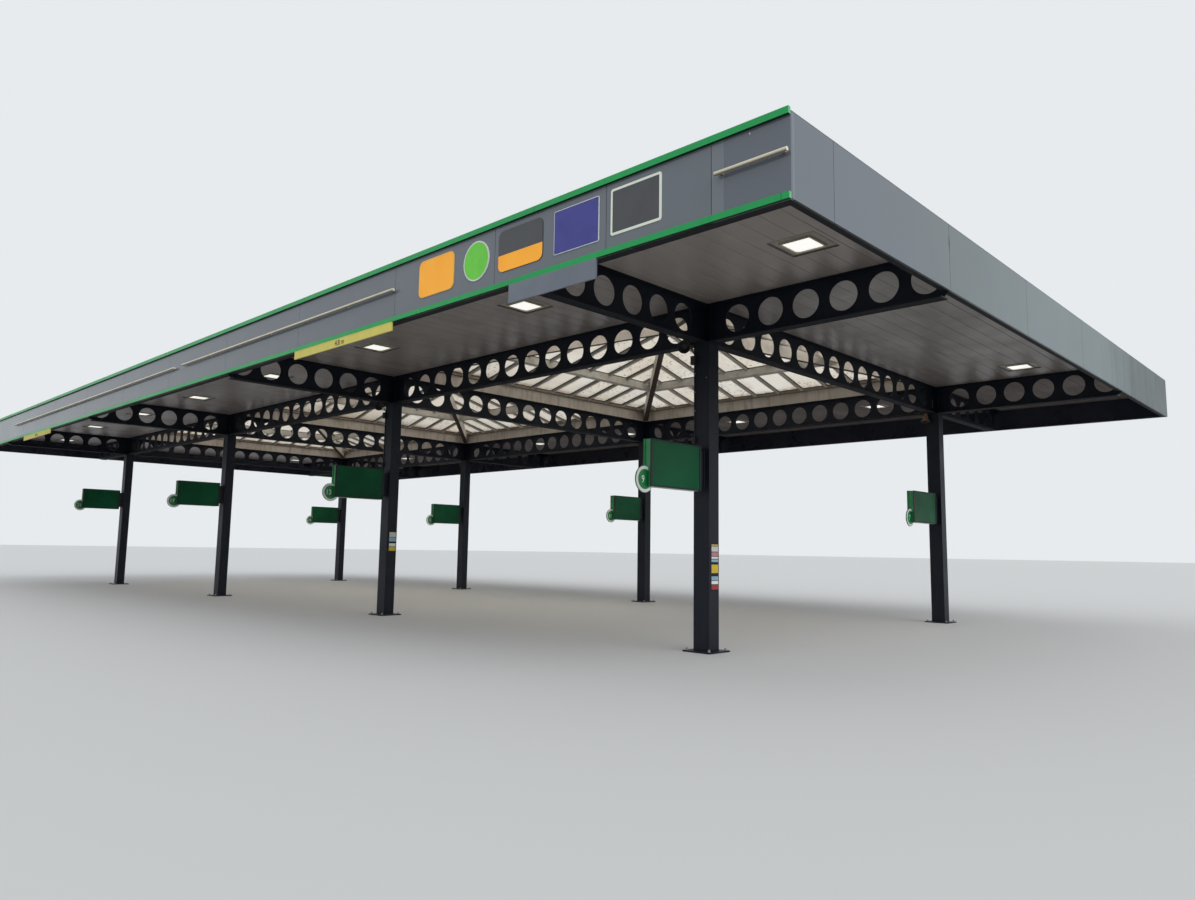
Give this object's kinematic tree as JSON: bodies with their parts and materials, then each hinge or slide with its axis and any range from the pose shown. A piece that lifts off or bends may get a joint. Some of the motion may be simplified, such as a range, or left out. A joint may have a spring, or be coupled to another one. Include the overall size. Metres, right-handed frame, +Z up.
{
  "type": "filling station canopy",
  "caption": "Steel forecourt canopy: box columns, a grid of cellular beams, deep fascia, plank ceilings and pyramid rooflights over the bays.",
  "frame": {"origin": "on the ground, in the middle of the whole canopy's plan", "axes": "+X along the long front towards its right end, +Y from the front to the back, +Z up"},
  "size_m": [34.8, 17.3249, 7.036],
  "materials": {
    "steel_dark": "satin",
    "fascia_panel": "satin",
    "fascia_dark": "satin",
    "strip_green": "gloss",
    "tube_cream": "satin",
    "board_yellow": "satin",
    "board_grey": "satin",
    "ceiling_plank": "satin",
    "lamp": "frosted",
    "roof_sheet": "satin",
    "curb_paint": "matt",
    "glazing": "weathered, translucent",
    "sign_green": "satin",
    "horn": "rusty"
  },
  "bodies": {
    "root": {"column_front_1": "steel_dark", "column_front_2": "steel_dark", "column_front_3": "steel_dark", "column_front_4": "steel_dark", "column_back_1": "steel_dark", "column_back_2": "steel_dark", "column_back_3": "steel_dark", "column_back_4": "steel_dark", "row_beam_front": "steel_dark", "row_beam_back": "steel_dark", "cross_beam_1": "steel_dark", "cross_beam_2": "steel_dark", "cross_beam_3": "steel_dark", "cross_beam_4": "steel_dark", "fascia_front": "fascia_panel", "fascia_back": "fascia_panel", "fascia_left": "fascia_panel", "fascia_right": "fascia_panel", "fascia_frame_front": "fascia_dark", "fascia_frame_back": "fascia_dark", "fascia_frame_left": "fascia_dark", "fascia_frame_right": "fascia_dark", "strip_top": "strip_green", "strip_bottom": "strip_green", "front_tubes": "tube_cream", "height_boards": "board_yellow", "grey_board": "board_grey", "sign_plates": "board_grey", "ceiling_front": "ceiling_plank", "ceiling_back": "ceiling_plank", "ceiling_left": "ceiling_plank", "ceiling_right": "ceiling_plank", "ceiling_lights": "lamp", "roof_front": "roof_sheet", "roof_back": "roof_sheet", "roof_left": "roof_sheet", "roof_right": "roof_sheet", "rooflight_curb_1": "curb_paint", "rooflight_curb_2": "curb_paint", "rooflight_curb_3": "curb_paint", "rooflight_hips_1": "curb_paint", "rooflight_hips_2": "curb_paint", "rooflight_hips_3": "curb_paint", "rooflight_bars_1": "curb_paint", "rooflight_bars_2": "curb_paint", "rooflight_bars_3": "curb_paint", "rooflight_glazing_1": "glazing", "rooflight_glazing_2": "glazing", "rooflight_glazing_3": "glazing", "column_signs_front": "sign_green", "column_signs_back": "sign_green", "speakers": "horn"}
  },
  "joints": []
}
